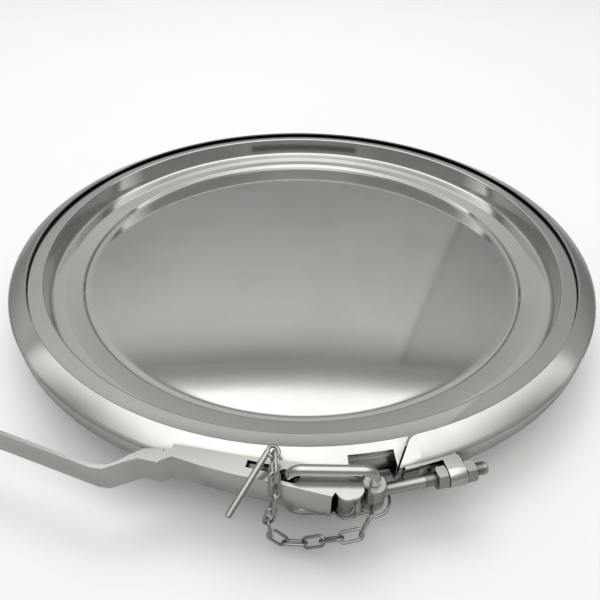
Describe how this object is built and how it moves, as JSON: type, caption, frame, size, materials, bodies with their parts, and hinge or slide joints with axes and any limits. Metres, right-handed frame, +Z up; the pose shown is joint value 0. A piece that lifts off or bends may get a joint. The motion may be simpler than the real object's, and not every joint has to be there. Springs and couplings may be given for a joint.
{
  "type": "tank manway cover",
  "caption": "Round dished tank manway cover on a weld-in neck, held by a split V-section clamp with an over-centre lever, looped link, eye bolt and chained lock pin.",
  "frame": {"origin": "centre of the neck's lower end, on the neck's axis", "axes": "+Z up along the neck axis, -Y towards the clamp's split and latch, +X to the right seen from the latch side"},
  "size_m": [0.5579, 0.588, 0.0723],
  "materials": {
    "cover_steel": "mirror polished",
    "neck_steel": "satin",
    "clamp_steel": "mirror polished",
    "clamp_fitting_steel": "polished",
    "lever_steel": "mirror polished",
    "rod_steel": "polished",
    "bolt_steel": "turned",
    "chain_steel": "dull bright",
    "gasket_rubber": "silicone"
  },
  "bodies": {
    "ring": {"neck_ring": "neck_steel", "gasket": "gasket_rubber", "cover": "cover_steel", "clamp_band": "clamp_steel", "bolt_lug": "clamp_fitting_steel", "pivot_bracket": "clamp_fitting_steel", "lock_tab": "clamp_fitting_steel", "eye_bolt": "bolt_steel"},
    "lever": {"lever": "lever_steel", "pivot_pin": "lever_steel"},
    "link": {"link_loop": "rod_steel"},
    "chain": {"chain_ring": "chain_steel", "chain_link_01": "chain_steel", "chain_link_02": "chain_steel", "chain_link_03": "chain_steel", "chain_link_04": "chain_steel", "chain_link_05": "chain_steel", "chain_link_06": "chain_steel", "chain_link_07": "chain_steel", "chain_link_08": "chain_steel", "chain_link_09": "chain_steel", "chain_link_10": "chain_steel", "chain_link_11": "chain_steel", "split_pin": "chain_steel"},
    "inner_nut": {"inner_nut": "bolt_steel"},
    "outer_nut": {"outer_nut": "bolt_steel"}
  },
  "joints": [
    {"name": "lever_swing", "type": "hinge", "parent": "ring", "child": "lever", "pos_m": [0.028, -0.292, 0.045], "axis": [0, 0, 1], "range_deg": [0, 85]},
    {"name": "link_swing", "type": "hinge", "parent": "ring", "child": "link", "pos_m": [0.0455, -0.2845, 0.043], "axis": [0, 0, 1], "range_deg": [0, 57]},
    {"name": "chain_swing", "type": "hinge", "parent": "ring", "child": "chain", "pos_m": [0.0455, -0.2845, 0.036], "axis": [0, 0, 1], "range_deg": [0, 86]},
    {"name": "inner_nut_spin", "type": "hinge", "parent": "ring", "child": "inner_nut", "pos_m": [0.0455, -0.2845, 0.043], "axis": [0.9707, 0.2402, 0], "continuous": true},
    {"name": "outer_nut_spin", "type": "hinge", "parent": "ring", "child": "outer_nut", "pos_m": [0.0455, -0.2845, 0.043], "axis": [0.9707, 0.2402, 0], "continuous": true}
  ],
  "couplings": [
    {"joint": "link_swing", "follows": "lever_swing", "ratio": 0.655},
    {"joint": "chain_swing", "follows": "lever_swing", "ratio": 1}
  ]
}
